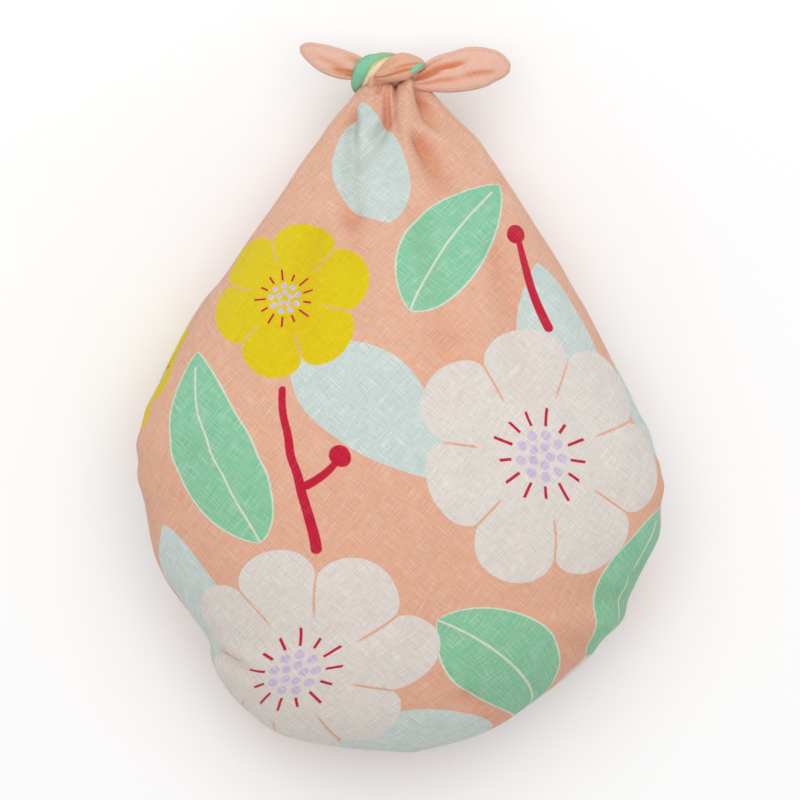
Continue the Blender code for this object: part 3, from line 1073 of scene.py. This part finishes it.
    def pleated(self, grid: Array) -> Array:
        """How far the fine pleats of the tucked corners move each point, in millimetres."""
        depth = np.zeros(grid.shape[:2])
        for pleats in PLEATS:
            offset = grid - np.array([pleats.x, pleats.y, pleats.z])
            away = np.linalg.norm(offset, axis=2)
            turn = np.arctan2(offset[:, :, 2], offset[:, :, 1])
            start = np.clip(away / self.pleat_start, 0.0, 1.0)
            fade = np.exp(-((away / pleats.reach) ** 2)) * start
            depth += pleats.depth * fade * np.cos(pleats.count * turn + pleats.phase)
        return depth

    def uneven(self, grid: Array) -> Array:
        """The small unevenness of stuffed cloth, in millimetres."""
        depth = np.empty(grid.shape[:2])
        for row, column in np.ndindex(depth.shape):
            place = Vector(grid[row, column])
            depth[row, column] = sum(high * noise.noise(place / size) for high, size in self.bumps)
        return depth

    def moved(self, grid: Array, front: bool) -> Array:
        """A layer with its folds, pleats and unevenness pressed in along its own normals."""
        depth = self.pleated(grid) + self.uneven(grid)
        if front:
            depth = depth + self.folded(grid)
        rest = np.clip(grid[:, :, 2] / self.rest_reach, 0.0, 1.0)
        foot = np.clip((grid[:, :, 1] - SECTIONS[0].y) / self.foot_reach, 0.0, 1.0)
        return grid + self.normals(grid) * (depth * rest * foot)[:, :, None]

    def build(self) -> Piece:
        """Build and dress the wall: the front, and the back in two halves that meet below."""
        rows = self.rows()
        front_turns = np.linspace(0.0, math.pi, self.front_steps + 1)
        back_turns = np.linspace(0.0, math.pi, 2 * self.back_steps + 1)
        front = np.array([self.layer(row, front_turns, True) for row in rows])
        back = np.array([self.back_row(row, back_turns) for row in rows])
        fine_front = self.moved(front, True)
        fine_back = self.moved(back, False)
        open_left = np.array([row.gap_left >= self.open_gap for row in rows])
        open_right = np.array([row.gap_right >= self.open_gap for row in rows])
        fine_back[~open_left, : self.lip_steps + 1] = fine_front[~open_left, :1]
        fine_back[~open_right, -1] = fine_front[~open_right, -1]
        middle = self.front_steps // 2
        up = run_lengths(front[:, middle])
        front_across = np.array([run_lengths(row) - run_lengths(row)[middle] for row in front])
        back_lengths = np.array([run_lengths(row) for row in back])
        left_across = front_across[:, :1] - back_lengths
        right_across = front_across[:, -1:] + back_lengths[:, -1:] - back_lengths
        front_hem = self.hem_distance(open_left, open_right, front_across)
        back_hem = self.hem_distance(open_left, open_right, back_lengths)
        # Painted shade: the front darkens in its folds, and both layers darken low on the bag where they turn
        # away
        front_painted_shade = np.clip(self.low_painted_shade(front) - self.folded(front) / self.painted_shade_depth, 0.0, 1.0)
        back_painted_shade = self.low_painted_shade(back)
        pieces = [woven_grid("front", fine_front, front_across, up, front_hem, front_painted_shade)]
        half = self.back_steps + self.lip_steps
        for name, across, part in (
            ("back_left", left_across, slice(half, None, -1)),
            ("back_right", right_across, slice(None, half - 1, -1)),
        ):
            grid, hem, crease = fine_back[:, part], back_hem[:, part], back_painted_shade[:, part]
            pieces.append(woven_grid(name, grid, across[:, part], up, hem, crease))
        wall = join_pieces(pieces, "bag_wall")
        blocks = PrintBlocks()
        for cotton in (
            SlubCotton("printed_cotton", blocks=blocks, hemmed=True),
            SlubCotton("cotton_reverse", blocks=blocks, fade=self.reverse_fade, hemmed=True),
        ):
            wall.data.materials.append(cotton.make())
        solid = wall.modifiers.new("cloth thickness", "SOLIDIFY")
        solid.thickness = self.thickness
        solid.offset = -1.0
        solid.material_offset = 1
        bpy.ops.object.modifier_apply(modifier=solid.name)
        return wall

    def hem_distance(self, open_left: Array, open_right: Array, across: Array) -> Array:
        """Distance from each point to the hemmed edges of its layer.

        Args:
            open_left: whether the left mouth is open at each row.
            open_right: whether the right mouth is.
            across: each point's place across the layer, in millimetres.

        Returns:
            The distances in metres, or a metre where both sides are closed.
        """
        left = np.where(open_left[:, None], across - across[:, :1], 1.0 / MM)
        right = np.where(open_right[:, None], across[:, -1:] - across, 1.0 / MM)
        return np.minimum(left, right) * MM


@dataclass
class Bundle:
    """A gathered or folded bundle of the cloth.

    Attributes:
        name: the piece's name.
        rings: its sections from end to end.
        creases: the grooves along it.
        cloth: the ink of its cotton.
        around: columns round it.
        pitch: distance from row to row, in millimetres.
        flatness: 1 is a round section, and less makes it flat on its top and under it.
        hem_width: width of the hem along both its sides in millimetres, or 0 for none.
        painted_shade_depth: depth of a groove that takes the full painted shade, as a share of the size.
        heading_reach: length over which the bundle's heading is averaged, in millimetres.
        thinnest: the least half size of a ring, in millimetres.
        pale_loss: how much less painted shade a pale ink takes in the creases.
        weave: the threads of its cotton.
    """

    name: str
    rings: tuple[Ring, ...]
    creases: tuple[Crease, ...] = ()
    cloth: Dye = Dye.GROUND
    around: int = 64
    pitch: float = 0.8
    flatness: float = 1.0
    hem_width: float = 0.0
    painted_shade_depth: float = 0.18
    heading_reach: float = 8.0
    thinnest: float = 0.3
    pale_loss: float = 0.3
    weave: Weave = Weave(0.00042, slub_pitch=0.00052, contrast=0.12, slub_contrast=0.04, bare=0.15)

    def build(self) -> Piece:
        """Build the bundle as a tube of cloth closed over both ends."""
        table = np.array(self.rings)
        place = run_lengths(table[:, :3])
        steps = math.ceil(place[-1] / self.pitch)
        line = smooth_curve(place, table, np.linspace(0.0, place[-1], steps + 1))
        centres = line[:, :3]
        wide, thick = np.maximum(line[:, 3:], self.thinnest).T
        heading = self.smoothed(np.gradient(centres, axis=0))
        heading /= np.linalg.norm(heading, axis=1, keepdims=True)
        level = np.cross(heading, np.array([0.0, 0.0, 1.0]))
        level /= np.linalg.norm(level, axis=1, keepdims=True)
        rise = np.cross(level, heading)
        turns = np.linspace(0.0, math.tau, self.around + 1)
        share = np.linspace(0.0, 1.0, steps + 1)
        reach = 1.0 - self.groove(turns, share)
        level_part = (wide[:, None] * np.cos(turns) * reach)[:, :, None] * level[:, None, :]
        lift = np.sign(np.sin(turns)) * np.abs(np.sin(turns)) ** self.flatness
        rise_part = (thick[:, None] * lift * reach)[:, :, None] * rise[:, None, :]
        grid = centres[:, None, :] + level_part + rise_part
        grid = np.concatenate([grid[:1] * 0 + centres[0], grid, grid[:1] * 0 + centres[-1]])
        girth = (wide + thick).mean() * math.pi / 2.0
        up = run_lengths(grid[:, 0])
        across = (turns / math.tau * 2.0 * girth)[None, :]
        hem = np.full(grid.shape[:2], 1.0)
        if self.hem_width:
            sides = np.concatenate([wide[:1], wide, wide[-1:]])[:, None] * (1.0 - np.abs(np.cos(turns)))
            hem = sides * Hem.width / self.hem_width
        # Painted shade in the bundle's grooves, darker where they are deeper
        depth = self.groove(turns, share)
        depth = np.concatenate([depth[:1], depth, depth[-1:]]) / self.painted_shade_depth
        tube = woven_grid(self.name, grid[:, ::-1], across[:, ::-1], up, hem[:, ::-1], depth[:, ::-1])
        tube = join_pieces([tube], self.name)
        bpy.ops.object.mode_set(mode="EDIT")
        bpy.ops.mesh.select_all(action="SELECT")
        bpy.ops.mesh.normals_make_consistent(inside=False)
        bpy.ops.object.mode_set(mode="OBJECT")
        cotton = SlubCotton(f"{self.name}_cotton", self.cloth, hemmed=self.hem_width > 0.0)
        cotton.pale_loss = self.pale_loss
        cotton.weave = self.weave
        tube.data.materials.append(cotton.make())
        return tube

    def smoothed(self, heading: Array) -> Array:
        """Headings averaged over a short reach, so that neighbouring sections never cross."""
        reach = max(1, round(self.heading_reach / self.pitch))
        weights = np.hanning(2 * reach + 3)[1:-1]
        padded = np.pad(heading, ((reach, reach), (0, 0)), mode="edge")
        return np.stack([np.convolve(part, weights, mode="valid") for part in padded.T], axis=1)

    def groove(self, turns: Array, share: Array) -> Array:
        """How far the creases draw the bundle in, as a share of its size.

        Args:
            turns: the columns' angles.
            share: the rows' places from end to end, from 0 to 1.

        Returns:
            The depth for each row and column.
        """
        depth = np.zeros((len(share), len(turns)))
        for place, deep, width, start, end in self.creases:
            away = np.abs((turns - math.radians(place) + math.pi) % math.tau - math.pi)
            across = np.exp(-((away / math.radians(width)) ** 2))
            middle = (start + end) / 2.0
            reach = (end - start) / 2.0
            along = np.exp(-(np.abs((share - middle) / reach) ** 4))
            depth += deep * along[:, None] * across[None, :]
        return depth


KNOT = (
    Bundle("knot_core", (
        (-21, 190, 46, 1, 1), (-20, 190, 46, 6, 7), (-13, 190.5, 46, 7.5, 10.5),
        (-4, 191.5, 46, 8, 11), (5, 192, 46, 7, 10.5), (11, 191.5, 46, 5, 7),
        (12.5, 191, 46, 1, 1),
    )),
    Bundle("left_wrap", (
        (-24.6, 179, 42.5, 0.5, 0.5), (-26.1, 183.3, 45.5, 2.2, 2.6), (-24.4, 189.2, 52.5, 4.1, 4),
        (-21.8, 194, 57, 4.9, 4.4), (-17.5, 197.9, 58.6, 4.4, 4.2), (-11.8, 200.2, 57.5, 2.8, 3.6),
        (-5.3, 201.5, 54, 1.7, 2.6), (-1, 202, 50, 0.4, 0.6),
    ), creases=((150, 0.05, 14, 0.2, 0.9),), cloth=Dye.MINT),
    Bundle("wrap_hem", (
        (-24.2, 183.8, 48.4, 0.2, 0.2), (-21.3, 188.2, 55.6, 0.6, 0.56),
        (-18.1, 192.9, 60.2, 0.68, 0.64), (-14.2, 196.8, 62, 0.64, 0.64),
        (-9.7, 199.4, 61.3, 0.6, 0.56), (-5.4, 200.8, 58, 0.4, 0.4), (-3.2, 201.5, 55.6, 0.2, 0.2),
    ), cloth=Dye.STRAW, around=16, pitch=0.6),
    Bundle("wrap_reverse", (
        (-22.9, 183.8, 47.5, 0.65, 0.65), (-19.4, 187.8, 54, 2.2, 2.1),
        (-16.4, 192, 58.4, 2.6, 2.4), (-12.7, 195.4, 60.3, 2.4, 2.1), (-8.5, 198, 60, 1.9, 1.9),
        (-4.7, 199.8, 57.6, 1.1, 1.2), (-2.9, 200.6, 55.6, 0.55, 0.55),
    ), cloth=Dye.REVERSE, around=24, pitch=0.6),
    Bundle("middle_lobe", (
        (-14.2, 190.9, 50, 0.6, 0.8), (-12.8, 190.9, 54, 3.5, 3.8), (-8.6, 191.4, 59, 5.4, 5.2),
        (-3, 193.4, 62, 7.5, 6.2), (3, 195.2, 62.6, 7.9, 6.2), (8, 196, 60.6, 5.7, 5.4),
        (12, 196.1, 57, 3.1, 3.8), (14.6, 195.4, 53, 0.6, 0.8),
    ), (
        (63, 0.2, 6, 0.08, 0.76), (88, 0.15, 5, 0.42, 0.95), (76, 0.1, 4, 0.4, 0.66),
        (120, 0.05, 12, 0.1, 0.6),
    ), around=96, pitch=0.5),
    Bundle("mint_tuck", (
        (3.6, 189.6, 62, 0.3, 0.3), (6.2, 191.2, 64.9, 1.7, 1.5), (9.4, 194, 65, 2.2, 1.6),
        (12, 195.6, 62, 1.9, 1.6), (14, 196.4, 57.5, 0.9, 1), (15, 196.6, 55, 0.2, 0.2),
    ), cloth=Dye.MINT, around=28, pitch=0.6),
    Bundle("back_hem", (
        (-20, 198.6, 46, 0.6, 0.6), (-15, 200.8, 46, 2.6, 3.6), (-8, 201.7, 46, 2.9, 4.2),
        (-1, 200.6, 45, 2.6, 3.6), (5, 198.2, 43, 0.6, 0.6),
    )),
    Bundle("under_lobe", (
        (-22, 193, 42, 1, 1), (-17, 192.5, 37, 7, 5), (-4, 190, 33, 9, 5.6), (8, 189, 36, 7.5, 5),
        (14, 189, 41, 1.4, 1.4),
    ), creases=((250, 0.1, 12, 0.2, 0.8), (290, 0.08, 12, 0.2, 0.9)), cloth=Dye.MINT),
    Bundle("left_ear", (
        (-14, 190.8, 48, 3, 3), (-21, 193.3, 48.8, 6.2, 4.8), (-28, 195.6, 49.6, 7.9, 4.8),
        (-34, 197, 50.2, 8.6, 4.6), (-40, 198.8, 51, 8.6, 4.3), (-46, 201.2, 51.8, 7.9, 3.9),
        (-51.5, 203.8, 52.6, 6.2, 3.3), (-55.8, 205.8, 53.1, 4.3, 2.6),
        (-58.2, 206.8, 53.3, 2.2, 1.6), (-59, 207.1, 53.4, 0.4, 0.4),
    ), (
        (124, 0.25, 15, 0.18, 0.54), (146, 0.16, 9, 0.12, 0.4), (98, 0.09, 12, 0.4, 0.78),
        (60, 0.12, 15, 0.05, 0.4),
    ), cloth=Dye.ROSE, around=96, flatness=0.72, hem_width=2.6),
    Bundle("right_ear", (
        (3, 187.4, 48, 2, 2), (8, 186.9, 50, 4.4, 4.6), (15, 188.2, 51.4, 7.8, 5.4),
        (22, 190.6, 52, 10.6, 5.4), (33, 192.6, 52.2, 12.2, 5.2), (42.5, 194.6, 52.2, 12.8, 4.8),
        (51.5, 195.4, 52, 11.2, 4.2), (57.4, 195.2, 51.6, 9, 3.5), (61, 194, 51.2, 6.6, 2.8),
        (63.6, 192.8, 51, 3.6, 1.8), (64.5, 192.2, 51, 0.6, 0.6),
    ), (
        (111, 0.44, 8, 0.06, 0.56), (96, 0.3, 7, 0.06, 0.34), (66, 0.14, 9, 0.1, 0.52),
        (71, 0.16, 9, 0.54, 0.86), (140, 0.1, 10, 0.1, 0.4),
    ), cloth=Dye.ROSE, around=96, flatness=0.72, hem_width=2.6),
)


@dataclass
class InnerKnot:
    """The plain knot of a fold end, inside the bag behind its tucked side corner.

    Attributes:
        name: the piece's name.
        x, y, z: its outer end, in millimetres.
        side: 1 on the right and -1 on the left.
        steps: distance inwards and radius of each ring, in millimetres.
    """

    name: str
    x: float
    y: float
    z: float
    side: float
    steps: tuple[tuple[float, float], ...] = (
        (0, 1), (1, 4.6), (4, 6), (9, 10), (16, 11), (22, 8.6), (25, 3.4), (26, 0.6),
    )

    def build(self) -> Piece:
        """Build the knot as a round bundle that runs inwards."""
        rings = tuple(
            (self.x - self.side * depth, self.y, self.z, radius, radius) for depth, radius in self.steps
        )
        shapes = ((40.0, 0.10, 14.0), (160.0, 0.12, 12.0), (280.0, 0.10, 14.0))
        creases = tuple((*shape, 0.1, 0.9) for shape in shapes)
        return Bundle(self.name, rings, creases, Dye.REVERSE, 36, 1.4).build()


@dataclass(frozen=True)
class Studio:
    """A plain pale floor, soft light and the camera straight over the wrap.

    Attributes:
        height: the camera's height over the surface, in metres.
        outline_height: height of the wrap's outline, where the picture's scale is set.
        frame: width of the picture there, in metres.
        middle_y: the picture's middle along the wrap, in metres.
        floor_size: the floor's width, in metres.
        floor_shade: how pale the floor is.
        key_place, key_size, key_power: the soft light over the knot's end, in metres and watts.
        aim_height: height of the point that the light faces, in metres.
        sky: strength of the light from all round.
    """

    height: float = 2.3
    outline_height: float = 0.060
    frame: float = 0.4706
    middle_y: float = -0.0012
    floor_size: float = 8.0
    floor_shade: float = 0.96
    key_place: tuple[float, float, float] = (0.02, 0.58, 2.25)
    key_size: float = 2.4
    key_power: float = 33.0
    aim_height: float = 0.05
    sky: float = 0.60

    def build(self) -> None:
        """Set the floor, the lights and the camera."""
        self.set_floor()
        self.set_light()
        self.set_camera()
        world = bpy.data.worlds.new("studio air")
        world.use_nodes = True
        air = world.node_tree.nodes["Background"]
        air.inputs["Color"].default_value = (1.0, 1.0, 1.0, 1.0)
        air.inputs["Strength"].default_value = self.sky
        bpy.context.scene.world = world
        bpy.context.scene.view_settings.view_transform = "Standard"

    def set_floor(self) -> None:
        """Lay the floor."""
        deselect_all()
        bpy.ops.mesh.primitive_plane_add(size=self.floor_size)
        floor = bpy.context.object
        floor.name = "floor"
        paint = bpy.data.materials.new("pale floor")
        paint.use_nodes = True
        shader = paint.node_tree.nodes["Principled BSDF"]
        shader.inputs["Base Color"].default_value = (*[self.floor_shade] * 3, 1.0)
        shader.inputs["Roughness"].default_value = 0.9
        shader.inputs["Specular IOR Level"].default_value = 0.1
        floor.data.materials.append(paint)
        floor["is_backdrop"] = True

    def set_light(self) -> None:
        """Hang the soft square light that faces the wrap."""
        lamp = bpy.data.lights.new("key", "AREA")
        lamp.shape = "SQUARE"
        lamp.size = self.key_size
        lamp.energy = self.key_power
        item = bpy.data.objects.new("key", lamp)
        bpy.context.scene.collection.objects.link(item)
        item.location = self.key_place
        ray = Vector((0.0, 0.0, self.aim_height)) - Vector(self.key_place)
        item.rotation_euler = ray.to_track_quat("-Z", "Y").to_euler()

    def set_camera(self) -> None:
        """Hang the camera straight over the wrap, its top towards the knot."""
        eye = bpy.data.cameras.new("camera")
        eye.sensor_width = 36.0
        eye.lens = eye.sensor_width * (self.height - self.outline_height) / self.frame
        eye.clip_end = 50.0
        item = bpy.data.objects.new("camera", eye)
        bpy.context.scene.collection.objects.link(item)
        item.location = (0.0, self.middle_y, self.height)
        bpy.context.scene.camera = item


def main() -> None:
    """Build the wrap and its studio, and report each piece."""
    logging.basicConfig(level=logging.INFO, format="%(name)s: %(message)s")
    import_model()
    solid_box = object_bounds()
    Studio().build()
    wall = BagWall().build()
    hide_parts(NODE)
    pieces = [bundle.build() for bundle in KNOT]
    pieces.append(InnerKnot("left_inner_knot", -128.0, -33.0, 62.0, -1.0).build())
    pieces.append(InnerKnot("right_inner_knot", 130.0, -43.0, 62.0, 1.0).build())
    for piece in [wall, *pieces]:
        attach(piece, "root")
        log.info("%s: %d faces", piece.name, len(piece.data.polygons))
    [[list(map(float, corner)) for corner in box] for box in (solid_box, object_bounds())]


if __name__ == "__main__":
    main()
